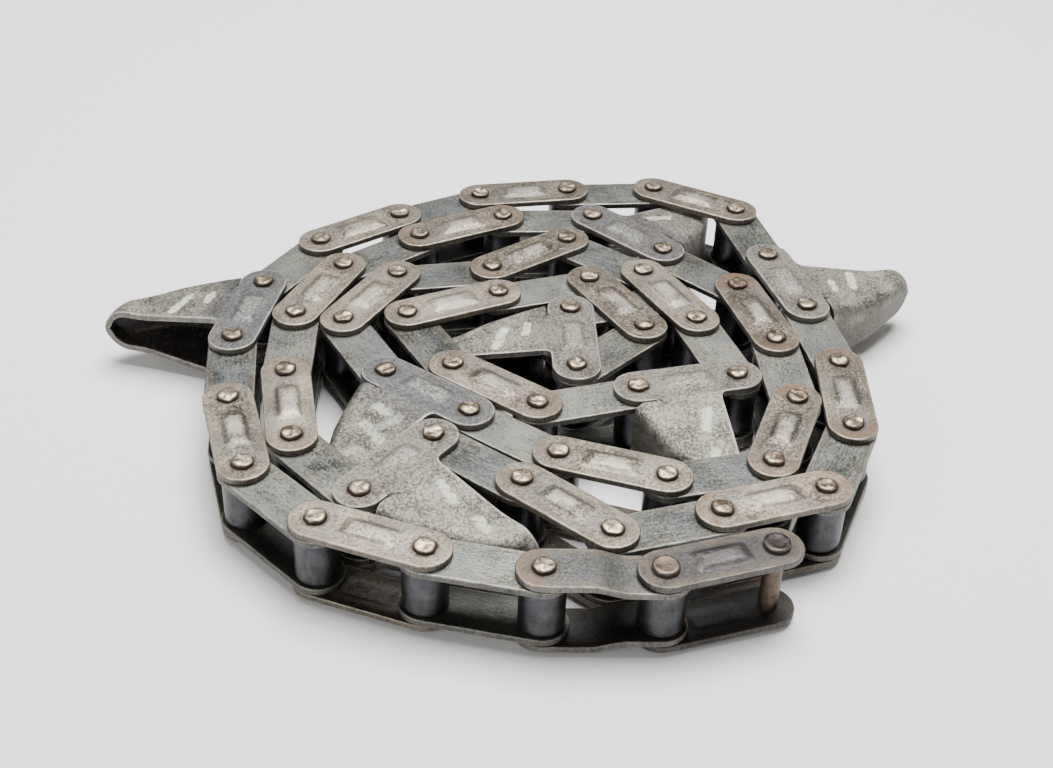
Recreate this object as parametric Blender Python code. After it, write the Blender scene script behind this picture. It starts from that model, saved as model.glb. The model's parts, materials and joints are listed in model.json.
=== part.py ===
"""A heap of heavy steel roller chain, laid flat in a coil of about three turns.

Every link is one solid: its two plates with the bushes and rollers, or with the
riveted pins, that are pressed or riveted into them. Every eighth link carries a
paddle, which is its top plate folded round into its bottom plate. The pins stand
upright, and the chain lies on its lower rivet heads.

The free outer end is the connecting link, at the front right. The chain runs from
there round the outside and ends in the middle of the coil.
"""

import math

import bmesh
import bpy
from mathutils import Matrix, Vector

MM = 0.001

# Chain, in millimetres
PITCH = 41.4
PLATE_THICKNESS = 2.6
PLATE_END_RADIUS = 9.8
PLATE_CLEARANCE = 0.3
ROLLER_RADIUS = 8.35
BORE_RADIUS = 4.15
PIN_RADIUS = 3.6
RIVET_HEAD_RADIUS = 4.1
RIVET_HEAD_TOP_RADIUS = 3.3
RIVET_HEAD_HEIGHT = 2.2
CONNECTING_HEAD_RADIUS = 4.9
CONNECTING_HEAD_TOP_RADIUS = 4.0
INNER_WIDTH = 19.8

# Levels of the plates above the floor, in millimetres
OUTER_LOW = RIVET_HEAD_HEIGHT
INNER_LOW = OUTER_LOW + PLATE_THICKNESS + PLATE_CLEARANCE
INNER_HIGH = INNER_LOW + PLATE_THICKNESS + INNER_WIDTH
OUTER_HIGH = INNER_HIGH + PLATE_THICKNESS + PLATE_CLEARANCE
OUTER_TOP = OUTER_HIGH + PLATE_THICKNESS
CHAIN_TOP = OUTER_TOP + RIVET_HEAD_HEIGHT

# Offset link: where its plates crank from the inner to the outer level
CRANK_START = 13.0
CRANK_END = 24.0

# Paddle, in millimetres from the pin at the link's outer end
PADDLE_ROOT = 11.7
PADDLE_NECK_END = 12.2
PADDLE_NECK_START_X = 9.7
PADDLE_NECK_STOP_X = 33.0
PADDLE_LEVEL_AT = 44.0
PADDLE_BEND_RADIUS = 8.0
PADDLE_TIP_BEND_RADIUS = 4.2
PADDLE_STATIONS = (
    # distance from the chain's line, front edge, fold
    (PADDLE_ROOT, 10.7, 46.4),
    (PADDLE_LEVEL_AT, 14.1, 36.5),
    (56.0, 15.5, 32.8),
    (61.0, 16.8, 31.0),
    (63.0, 20.0, 27.0),
)

# How round the round things are
PLATE_END_STEPS = 6
ROLLER_SIDES = 12
PIN_SIDES = 8
CONNECTING_HEAD_SIDES = 12
SMOOTH_ANGLE = math.radians(50)

# The lay of the coil: which way each link points, in degrees, from the free outer
# end inwards. Each link starts on the pin where the one before it ends.
COIL_START = (90.11, -117.95)
HEADINGS = (
    -161, -178, 169, 161, 136, 107, 97,
    81, 61, 37, 30, 11, 6, -26, -75,
    -73, -79, -91, -112, -160, -162, 141, 144,
    -126, 133, 101, 92, 68, 41, 28, 4,
    -42, -42, -73, -85, -109, -165, 164, 145,
    145, 120, 62, 11, 38, -37, -60, -71,
    -165, -162, 145, 120, 26, 19, -58, -133,
    93, 18,
)

CONNECTING_LINK = 0
OFFSET_LINK = 1
FIRST_PADDLE = 7
PADDLE_EVERY = 8


def clear_scene():
    for obj in list(bpy.data.objects):
        bpy.data.objects.remove(obj, do_unlink=True)


def steel(name, colour, roughness):
    material = bpy.data.materials.new(name)
    material.use_nodes = True
    shader = material.node_tree.nodes["Principled BSDF"]
    shader.inputs["Base Color"].default_value = (*colour, 1.0)
    shader.inputs["Roughness"].default_value = roughness
    shader.inputs["Metallic"].default_value = 1.0
    return material


def solid_from(name, bm):
    bmesh.ops.recalc_face_normals(bm, faces=bm.faces)
    bmesh.ops.scale(bm, vec=(MM, MM, MM), verts=bm.verts)
    mesh = bpy.data.meshes.new(name)
    bm.to_mesh(mesh)
    bm.free()
    obj = bpy.data.objects.new(name, mesh)
    bpy.context.scene.collection.objects.link(obj)
    return obj


def prism(name, outline, low, high, top_outline=None):
    """A solid between two levels, with the given outline, or tapering to another."""
    bm = bmesh.new()
    bottom = [bm.verts.new((x, y, low)) for x, y in outline]
    top = [bm.verts.new((x, y, high)) for x, y in top_outline or outline]
    bm.faces.new(bottom)
    bm.faces.new(top)
    for i in range(len(bottom)):
        j = (i + 1) % len(bottom)
        bm.faces.new((bottom[i], bottom[j], top[j], top[i]))
    return solid_from(name, bm)


def circle(x, radius, sides):
    half_step = math.pi / sides
    angles = [2 * math.pi * i / sides + half_step for i in range(sides)]
    return [(x + radius * math.cos(a), radius * math.sin(a)) for a in angles]


def arc(x, radius, start, stop, steps):
    angles = [start + (stop - start) * i / steps for i in range(steps + 1)]
    return [(x + radius * math.cos(a), radius * math.sin(a)) for a in angles]


def plate_outline(with_neck=False):
    """The outline of a link plate, from the pin at x = 0 to the pin one pitch on."""
    quarter = math.pi / 2
    far_end = arc(PITCH, PLATE_END_RADIUS, -quarter, quarter, PLATE_END_STEPS)
    near_end = arc(0.0, PLATE_END_RADIUS, quarter, 3 * quarter, PLATE_END_STEPS)
    if not with_neck:
        return far_end + near_end
    neck = [
        (PADDLE_NECK_STOP_X, PLATE_END_RADIUS),
        (PADDLE_NECK_STOP_X, PADDLE_NECK_END),
        (PADDLE_NECK_START_X + 1.0, PADDLE_NECK_END),
        (PADDLE_NECK_START_X - 1.5, PLATE_END_RADIUS),
    ]
    return far_end + neck + near_end


def combine(target, tools, operation):
    """Runs one Boolean per tool on the target, keeps the result and removes the tools."""
    for tool in tools:
        modifier = target.modifiers.new(tool.name, "BOOLEAN")
        modifier.operation = operation
        modifier.solver = "EXACT"
        modifier.object = tool
    graph = bpy.context.evaluated_depsgraph_get()
    mesh = bpy.data.meshes.new_from_object(target.evaluated_get(graph))
    target.modifiers.clear()
    target.data = mesh
    for tool in tools:
        bpy.data.objects.remove(tool, do_unlink=True)
    return target


def roller(x):
    """A roller with the bush inside it, reaching a little into both plates."""
    low = INNER_LOW + PLATE_THICKNESS / 2
    high = INNER_HIGH + PLATE_THICKNESS / 2
    return prism("roller", circle(x, ROLLER_RADIUS, ROLLER_SIDES), low, high)


def bore(x):
    outline = circle(x, BORE_RADIUS, PIN_SIDES)
    return prism("bore", outline, -1.0, CHAIN_TOP + 1.0)


def pin(x):
    """A pin between the two plates, reaching a little into both."""
    outline = circle(x, PIN_RADIUS, PIN_SIDES)
    reach = PLATE_THICKNESS / 2
    return prism("pin", outline, OUTER_LOW + reach, OUTER_HIGH + reach)


def rivet_heads(x, radius, top_radius, sides):
    """The two heads of a pin, each sunk a little into its plate."""
    wide = circle(x, radius, sides)
    narrow = circle(x, top_radius, sides)
    sink = PLATE_THICKNESS / 4
    return [
        prism("head_low", narrow, 0.0, OUTER_LOW + sink, wide),
        prism("head_high", wide, OUTER_TOP - sink, CHAIN_TOP, narrow),
    ]


def inner_link():
    plate = prism(
        "plate", plate_outline(), INNER_LOW, INNER_LOW + PLATE_THICKNESS
    )
    tools = [
        prism("plate_high", plate_outline(), INNER_HIGH, INNER_HIGH + PLATE_THICKNESS),
        roller(0.0),
        roller(PITCH),
    ]
    joined = combine(plate, tools, "UNION")
    return combine(joined, [bore(0.0), bore(PITCH)], "DIFFERENCE")


def outer_link(with_paddle=False):
    outline = plate_outline(with_paddle)
    plate = prism("plate", outline, OUTER_LOW, OUTER_LOW + PLATE_THICKNESS)
    tools = [prism("plate_high", outline, OUTER_HIGH, OUTER_TOP)]
    if with_paddle:
        tools.append(paddle())
    for x in (0.0, PITCH):
        tools.append(pin(x))
        tools += rivet_heads(x, RIVET_HEAD_RADIUS, RIVET_HEAD_TOP_RADIUS, PIN_SIDES)
    return combine(plate, tools, "UNION")


def connecting_link():
    plate = prism("plate", plate_outline(), OUTER_LOW, OUTER_LOW + PLATE_THICKNESS)
    tools = [prism("plate_high", plate_outline(), OUTER_HIGH, OUTER_TOP)]
    for x in (0.0, PITCH):
        tools.append(pin(x))
        tools += rivet_heads(
            x,
            CONNECTING_HEAD_RADIUS,
            CONNECTING_HEAD_TOP_RADIUS,
            CONNECTING_HEAD_SIDES,
        )
    return combine(plate, tools, "UNION")


def cranked_slab(name, inner_level, outer_level):
    """A slab across the chain that steps from the inner to the outer level."""
    reach = 2 * PLATE_END_RADIUS
    path = [
        (-reach, inner_level),
        (CRANK_START, inner_level),
        (CRANK_END, outer_level),
        (PITCH + reach, outer_level),
    ]
    section = path + [(x, z + PLATE_THICKNESS) for x, z in reversed(path)]
    bm = bmesh.new()
    near = [bm.verts.new((x, -reach, z)) for x, z in section]
    far = [bm.verts.new((x, reach, z)) for x, z in section]
    bm.faces.new(near)
    bm.faces.new(far)
    for i in range(len(near)):
        j = (i + 1) % len(near)
        bm.faces.new((near[i], near[j], far[j], far[i]))
    return solid_from(name, bm)


def offset_link():
    """The cranked link: a bush and roller at its first pin, a riveted pin at the other."""
    middle = CHAIN_TOP / 2
    low = combine(
        prism("low", plate_outline(), -1.0, middle - 1.0),
        [cranked_slab("slab", INNER_LOW, OUTER_LOW)],
        "INTERSECT",
    )
    high = combine(
        prism("high", plate_outline(), middle + 1.0, CHAIN_TOP + 1.0),
        [cranked_slab("slab", INNER_HIGH, OUTER_HIGH)],
        "INTERSECT",
    )
    tools = [high, roller(0.0), pin(PITCH)]
    tools += rivet_heads(PITCH, RIVET_HEAD_RADIUS, RIVET_HEAD_TOP_RADIUS, PIN_SIDES)
    joined = combine(low, tools, "UNION")
    return combine(joined, [bore(0.0)], "DIFFERENCE")


def paddle_top(distance):
    """The height of the paddle's top face at this distance from the chain's line."""
    inside = INNER_HIGH - PLATE_CLEARANCE
    start = PLATE_END_RADIUS
    share = min(1.0, (distance - start) / (PADDLE_LEVEL_AT - start))
    return OUTER_TOP + (inside - OUTER_TOP) * share


def paddle_section(front, fold, top, bend_radius):
    """The folded sheet's section as x and z, open at the front edge."""
    bottom = CHAIN_TOP - top
    points = []
    for radius, sheet in ((bend_radius, 0.0), (bend_radius - PLATE_THICKNESS, PLATE_THICKNESS)):
        centre = fold - bend_radius
        diagonal = radius * math.sqrt(0.5)
        high = top - bend_radius
        low = bottom + bend_radius
        path = [
            (front, top - sheet),
            (centre, top - sheet),
            (centre + diagonal, high + diagonal),
            (fold - sheet, high),
            (fold - sheet, low),
            (centre + diagonal, low - diagonal),
            (centre, bottom + sheet),
            (front, bottom + sheet),
        ]
        points += path if sheet == 0.0 else list(reversed(path))
    return points


def paddle():
    """The folded paddle beyond the neck, from its root to its rounded tip."""
    bm = bmesh.new()
    rings = []
    for distance, front, fold in PADDLE_STATIONS:
        at_tip = distance == PADDLE_STATIONS[-1][0]
        bend = PADDLE_TIP_BEND_RADIUS if at_tip else PADDLE_BEND_RADIUS
        section = paddle_section(front, fold, paddle_top(distance), bend)
        rings.append([bm.verts.new((x, distance, z)) for x, z in section])
    bm.faces.new(rings[0])
    bm.faces.new(rings[-1])
    for near, far in zip(rings, rings[1:]):
        for i in range(len(near)):
            j = (i + 1) % len(near)
            bm.faces.new((near[i], near[j], far[j], far[i]))
    return solid_from("paddle", bm)


def finished(obj, material):
    """Takes a link's mesh off its working object, with its origin on the second pin."""
    mesh = obj.data
    bpy.data.objects.remove(obj, do_unlink=True)
    mesh.transform(Matrix.Translation((-PITCH * MM, 0.0, 0.0)))
    mesh.shade_smooth()
    mesh.set_sharp_from_angle(angle=SMOOTH_ANGLE)
    mesh.materials.clear()
    mesh.materials.append(material)
    return mesh


def link_kind(index):
    if index == CONNECTING_LINK:
        return "connecting_link"
    if index == OFFSET_LINK:
        return "offset_link"
    if index % 2 == 0:
        return "inner_link"
    if index >= FIRST_PADDLE and (index - FIRST_PADDLE) % PADDLE_EVERY == 0:
        return "paddle_link"
    return "outer_link"


def lay_chain(meshes):
    """Lays the links one after the other, each turned to its own heading."""
    start = Vector((COIL_START[0], COIL_START[1], 0.0))
    for index, degrees in enumerate(HEADINGS):
        angle = math.radians(degrees)
        end = start + PITCH * Vector((math.cos(angle), math.sin(angle), 0.0))
        kind = link_kind(index)
        name = kind if index < 2 else f"{kind}_{index:02d}"
        obj = bpy.data.objects.new(name, meshes[kind])
        obj.location = end * MM
        obj.rotation_euler = (0.0, 0.0, angle)
        bpy.context.scene.collection.objects.link(obj)
        start = end


def main():
    clear_scene()
    warm = steel("outer_plate_steel", (0.36, 0.33, 0.30), 0.42)
    cool = steel("inner_plate_steel", (0.30, 0.32, 0.32), 0.38)
    dark = steel("connecting_link_steel", (0.16, 0.16, 0.16), 0.45)
    sheet = steel("paddle_steel", (0.20, 0.22, 0.24), 0.50)
    meshes = {
        "connecting_link": finished(connecting_link(), dark),
        "offset_link": finished(offset_link(), warm),
        "inner_link": finished(inner_link(), cool),
        "outer_link": finished(outer_link(), warm),
        "paddle_link": finished(outer_link(with_paddle=True), sheet),
    }
    lay_chain(meshes)


main()
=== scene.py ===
"""The dressed model of a coiled length of heavy steel roller chain with folded paddles.

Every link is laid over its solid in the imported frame. Master shapes for the plates,
rollers, bushes, pins and paddles are built once, in a link's own frame, and Geometry
Nodes lay them along the coil. The free outer links ride on their own bodies.
"""

import json
import logging
import math
from collections.abc import Callable
from dataclasses import dataclass, field
from enum import Enum

import bmesh
import bpy
from mathutils import Matrix, Vector

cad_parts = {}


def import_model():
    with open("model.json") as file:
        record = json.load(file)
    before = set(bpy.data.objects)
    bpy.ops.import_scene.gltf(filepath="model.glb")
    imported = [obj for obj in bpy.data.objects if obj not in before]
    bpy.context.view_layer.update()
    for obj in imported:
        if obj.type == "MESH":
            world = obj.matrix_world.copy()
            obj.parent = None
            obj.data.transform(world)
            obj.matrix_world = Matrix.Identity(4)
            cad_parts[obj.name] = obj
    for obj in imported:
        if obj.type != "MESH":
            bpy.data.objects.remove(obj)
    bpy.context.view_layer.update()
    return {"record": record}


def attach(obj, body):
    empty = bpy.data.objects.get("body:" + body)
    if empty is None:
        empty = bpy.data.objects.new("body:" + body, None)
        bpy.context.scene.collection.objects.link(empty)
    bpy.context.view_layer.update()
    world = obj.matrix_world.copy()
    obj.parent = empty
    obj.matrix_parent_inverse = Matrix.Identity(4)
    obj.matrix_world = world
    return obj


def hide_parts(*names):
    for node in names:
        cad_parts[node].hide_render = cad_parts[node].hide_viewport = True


MM = 0.001
PEEN_DEPTH = 0.0017
PEEN_WAVES = 360.0
NOISE_MEAN = (0.5, 0.5, 0.69)

Point = tuple[float, float]
Point3 = tuple[float, float, float]
Colour = tuple[float, float, float]
Loop = list[bmesh.types.BMVert]
Builder = Callable[["Mould"], None]

log = logging.getLogger("chain")


class LinkKind(Enum):
    """The five kinds of link in the chain."""

    CONNECTING = "connecting_link"
    OFFSET = "offset_link"
    INNER = "inner_link"
    OUTER = "outer_link"
    PADDLE = "paddle_link"


class Side(Enum):
    """Which way a plate's outer face looks."""

    LOW = -1
    HIGH = 1


@dataclass(frozen=True)
class ChainSizes:
    """The chain's real sizes, in millimetres, and the levels of its plates."""

    pitch: float = 41.4
    plate: float = 2.6
    end_radius: float = 9.8
    clearance: float = 0.3
    inner_width: float = 19.8
    roller_radius: float = 8.35
    bush_radius: float = 5.2
    bore_radius: float = 4.1
    pin_radius: float = 3.55
    head_height: float = 2.2

    @property
    def outer_low(self) -> float:
        """The underside of the lower outer plates."""
        return self.head_height

    @property
    def inner_low(self) -> float:
        """The underside of the lower inner plates."""
        return self.outer_low + self.plate + self.clearance

    @property
    def inner_high(self) -> float:
        """The underside of the upper inner plates."""
        return self.inner_low + self.plate + self.inner_width

    @property
    def outer_high(self) -> float:
        """The underside of the upper outer plates."""
        return self.inner_high + self.plate + self.clearance

    @property
    def face(self) -> float:
        """The top of the upper outer plates."""
        return self.outer_high + self.plate

    @property
    def top(self) -> float:
        """The top of the upper rivet heads."""
        return self.face + self.head_height


@dataclass(frozen=True)
class LinkPlace:
    """Where one link lies: its first pin, its heading and what it is."""

    index: int
    kind: LinkKind
    start: Point
    heading: float

    @property
    def node(self) -> str:
        """The name of the link's solid in the frame.

        Returns:
            The solid's name.
        """
        if self.index < 2:
            return self.kind.value
        return f"{self.kind.value}_{self.index:02d}"


@dataclass(frozen=True)
class CoilLay:
    """How the chain lies: the heading of each link, from the free end inwards."""

    start: Point = (90.11, -117.95)
    headings: tuple[int, ...] = (
        -161, -178, 169, 161, 136, 107, 97,
        81, 61, 37, 30, 11, 6, -26, -75,
        -73, -79, -91, -112, -160, -162, 141, 144,
        -126, 133, 101, 92, 68, 41, 28, 4,
        -42, -42, -73, -85, -109, -165, 164, 145,
        145, 120, 62, 11, 38, -37, -60, -71,
        -165, -162, 145, 120, 26, 19, -58, -133,
        93, 18,
    )
    first_paddle: int = 7
    paddle_every: int = 8

    def kind(self, index: int) -> LinkKind:
        """Tells what kind of link has this place in the chain.

        Args:
            index: The link's number, from the free outer end.

        Returns:
            The kind of link.
        """
        if index == 0:
            return LinkKind.CONNECTING
        if index == 1:
            return LinkKind.OFFSET
        if index % 2 == 0:
            return LinkKind.INNER
        past = index - self.first_paddle
        if past >= 0 and past % self.paddle_every == 0:
            return LinkKind.PADDLE
        return LinkKind.OUTER

    def places(self, pitch: float) -> list[LinkPlace]:
        """Steps along the chain.

        Args:
            pitch: The distance between pins, in millimetres.

        Returns:
            One place for each link, in order.
        """
        found = []
        x, y = self.start
        for index, degrees in enumerate(self.headings):
            angle = math.radians(degrees)
            found.append(LinkPlace(index, self.kind(index), (x, y), angle))
            x += pitch * math.cos(angle)
            y += pitch * math.sin(angle)
        return found


class Value:
    """A number or vector socket of a shader, on which arithmetic adds Math nodes."""

    def __init__(self, nodes: "NodeBench", socket: bpy.types.NodeSocket) -> None:
        """Wraps a socket of the bench's tree."""
        self.nodes = nodes
        self.socket = socket

    def _math(self, operation: str, *values: "float | Value") -> "Value":
        """Adds one Math node.

        Args:
            operation: The node's operation.
            values: Its inputs, in order.

        Returns:
            The node's result.
        """
        made = self.nodes.node(
            "ShaderNodeMath", {"operation": operation}, dict(enumerate(values))
        )
        return Value(self.nodes, made.outputs[0])

    def __add__(self, other: "float | Value") -> "Value":
        """Adds."""
        return self._math("ADD", self, other)

    __radd__ = __add__

    def __sub__(self, other: "float | Value") -> "Value":
        """Subtracts."""
        return self._math("SUBTRACT", self, other)

    def __rsub__(self, other: "float | Value") -> "Value":
        """Subtracts from a plain number."""
        return self._math("SUBTRACT", other, self)

    def __mul__(self, other: "float | Value") -> "Value":
        """Multiplies."""
        return self._math("MULTIPLY", self, other)

    __rmul__ = __mul__

    def __abs__(self) -> "Value":
        """Drops the sign."""
        return self._math("ABSOLUTE", self)

    def __pow__(self, other: "float | Value") -> "Value":
        """Raises to a power."""
        return self._math("POWER", self, other)

    def floor(self) -> "Value":
        """Rounds down."""
        return self._math("FLOOR", self)

    def least(self, other: "float | Value") -> "Value":
        """Takes the smaller."""
        return self._math("MINIMUM", self, other)

    def most(self, other: "float | Value") -> "Value":
        """Takes the larger."""
        return self._math("MAXIMUM", self, other)

    def ramp(self, low: float, high: float) -> "Value":
        """Rises smoothly from 0 to 1.

        Args:
            low: The value that becomes 0.
            high: The value that becomes 1; it may be under low.

        Returns:
            The smoothed value.
        """
        made = self.nodes.node(
            "ShaderNodeMapRange",
            {"interpolation_type": "SMOOTHSTEP"},
            {"Value": self, "From Min": low, "From Max": high},
        )
        return Value(self.nodes, made.outputs[0])


class NodeBench:
    """A node tree with one method that adds any node."""

    def __init__(self, tree: bpy.types.NodeTree) -> None:
        """Wraps the tree."""
        self.tree = tree

    def node(
        self,
        kind: str,
        settings: dict[str, object] | None = None,
        inputs: dict[object, object] | None = None,
    ) -> bpy.types.Node:
        """Adds a node, sets it up and joins its inputs.

        Args:
            kind: The node's type.
            settings: Its own settings, which are set first.
            inputs: A value, a link or a Value for each input, by name or number.

        Returns:
            The node.
        """
        made = self.tree.nodes.new(kind)
        for name, value in (settings or {}).items():
            setattr(made, name, value)
        for key, value in (inputs or {}).items():
            socket = made.inputs[key]
            if isinstance(value, Value):
                self.tree.links.new(value.socket, socket)
            elif isinstance(value, bpy.types.NodeSocket):
                self.tree.links.new(value, socket)
            else:
                socket.default_value = value
        return made

    def vector(self, operation: str, first: object, second: object) -> bpy.types.NodeSocket:
        """Adds a Vector Math node on two vectors and gives its result."""
        made = self.node("ShaderNodeVectorMath", {"operation": operation}, {0: first, 1: second})
        return made.outputs[0]


class SurfaceBench(NodeBench):
    """A material's tree, with the patterns that the steel finishes share."""

    def __init__(self, name: str) -> None:
        """Makes an empty material of that name.

        Args:
            name: The material's name.
        """
        self.material = bpy.data.materials.new(name)
        self.material.use_nodes = True
        super().__init__(self.material.node_tree)
        self.tree.nodes.clear()
        self.place = self.attribute("place", "Vector")
        parts = self.node("ShaderNodeSeparateXYZ", None, {0: self.place})
        self.x, self.y, self.z = (Value(self, part) * (1.0 / MM) for part in parts.outputs)
        self.tone = self.attribute("tone", "Fac")
        self.rust = self.attribute("rust", "Fac")
        edge = self.attribute("rim", "Fac")
        self.rim = edge.most(0.0)
        # inside is 1 on the inner faces between parts, which the finishes paint dark: partly oil,
        # partly painted shade.
        self.inside = (0.0 - edge).ramp(0.0, 0.7)
        self.own = self.shifted()
        self.along = abs(self.x - ChainSizes.pitch / 2)
        self.across = abs(self.y)

    def attribute(self, name: str, output: str) -> Value:
        """Reads a named attribute of the mesh."""
        made = self.node("ShaderNodeAttribute", {"attribute_name": name})
        return Value(self, made.outputs[output])

    def shifted(self) -> Value:
        """Gives place moved by a different amount on each link, so no two match.

        Returns:
            The moved coordinates.
        """
        shift = self.node(
            "ShaderNodeCombineXYZ",
            None,
            {0: self.tone * 3.7, 1: self.tone * 8.3, 2: self.tone * 5.9},
        )
        return Value(self, self.vector("ADD", self.place, shift.outputs[0]))

    def stretched(self, along: float, across: float, up: float) -> Value:
        """Scales the link's own coordinates along each of its axes."""
        return Value(self, self.vector("MULTIPLY", self.own, (along, across, up)))

    def noise(
        self, scale: float, detail: float = 3.0, rough: float = 0.5, at: Value | None = None
    ) -> Value:
        """Adds a noise pattern.

        Args:
            scale: Waves per metre.
            detail: How many finer layers it has.
            rough: How strong the finer layers are.
            at: Where it is read; the link's own coordinates if left out.

        Returns:
            The noise, from 0 to 1, mostly near 0.5.
        """
        made = self.node(
            "ShaderNodeTexNoise",
            None,
            {"Vector": at or self.own, "Scale": scale, "Detail": detail, "Roughness": rough},
        )
        return Value(self, made.outputs[0])

    def mix(self, factor: Value | float, first: object, second: object) -> Value:
        """Blends two colours.

        Args:
            factor: How much of the second shows.
            first: A colour, plain or linked.
            second: The other colour.

        Returns:
            The blended colour.
        """
        made = self.node("ShaderNodeMix", {"data_type": "RGBA"}, {0: factor})
        for number, colour in ((6, first), (7, second)):
            if isinstance(colour, Value):
                self.tree.links.new(colour.socket, made.inputs[number])
            else:
                made.inputs[number].default_value = (*colour, 1.0)
        return Value(self, made.outputs[2])

    def wall(self) -> Value:
        """Is 1 on the upright walls and 0 on the flats.

        Returns:
            The mask.
        """
        geometry = self.node("ShaderNodeNewGeometry")
        parts = self.node("ShaderNodeSeparateXYZ", None, {0: geometry.outputs["Normal"]})
        return abs(Value(self, parts.outputs[2])).ramp(0.75, 0.35)

    def from_pins(self) -> Value:
        """Gives the distance from the nearer pin's centre, in millimetres."""
        near = abs(self.x).least(abs(self.x - ChainSizes.pitch))
        return (near * near + self.y * self.y) ** 0.5

    def ragged(self, spread: float, scale: float = 420.0) -> Value:
        """Gives a noise round 0, in millimetres, that frays a mask's border."""
        return (self.noise(scale, 4.0, 0.7) - 0.5) * spread

    def worn_rim(self, low: float, high: float) -> Value:
        """Is 1 where the plate's rim is rubbed bright, in patches."""
        return self.rim * (self.noise(190.0, 5.0, 0.75) + 0.2).ramp(low, high)

    def stroke(self, start: Point, stop: Point, width: float) -> Value:
        """Is 1 on a straight rubbed stroke on the top, with ragged edges.

        Args:
            start: Where it starts, in the link's millimetres.
            stop: Where it ends.
            width: How wide it is.

        Returns:
            The stroke's mask.
        """
        across, up = stop[0] - start[0], stop[1] - start[1]
        length = math.hypot(across, up)
        ux, uy = across / length, up / length
        dx, dy = self.x - start[0], self.y - start[1]
        along = (dx * ux + dy * uy).most(0.0).least(length)
        off_x, off_y = dx - along * ux, dy - along * uy
        off = (off_x * off_x + off_y * off_y) ** 0.5
        return (off + self.ragged(4.5, 500.0)).ramp(width * 0.62, width * 0.30)

    def finish(
        self,
        colour: Value,
        roughness: Value,
        metallic: Value | float,
        height: Value,
        depth: float,
    ) -> bpy.types.Material:
        """Joins the surface to the output.

        Args:
            colour: The base colour.
            roughness: The roughness.
            metallic: The metallic value.
            height: The relief for the bump, from 0 to 1.
            depth: How deep that relief is, in metres.

        Returns:
            The finished material.
        """
        bump = self.node(
            "ShaderNodeBump", None, {"Height": height, "Distance": depth, "Strength": 1.0}
        )
        shader = self.node(
            "ShaderNodeBsdfPrincipled",
            None,
            {
                "Base Color": colour,
                "Roughness": roughness,
                "Metallic": metallic,
                "Normal": bump.outputs[0],
            },
        )
        out = self.node("ShaderNodeOutputMaterial")
        self.tree.links.new(shader.outputs[0], out.inputs[0])
        return self.material


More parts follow.
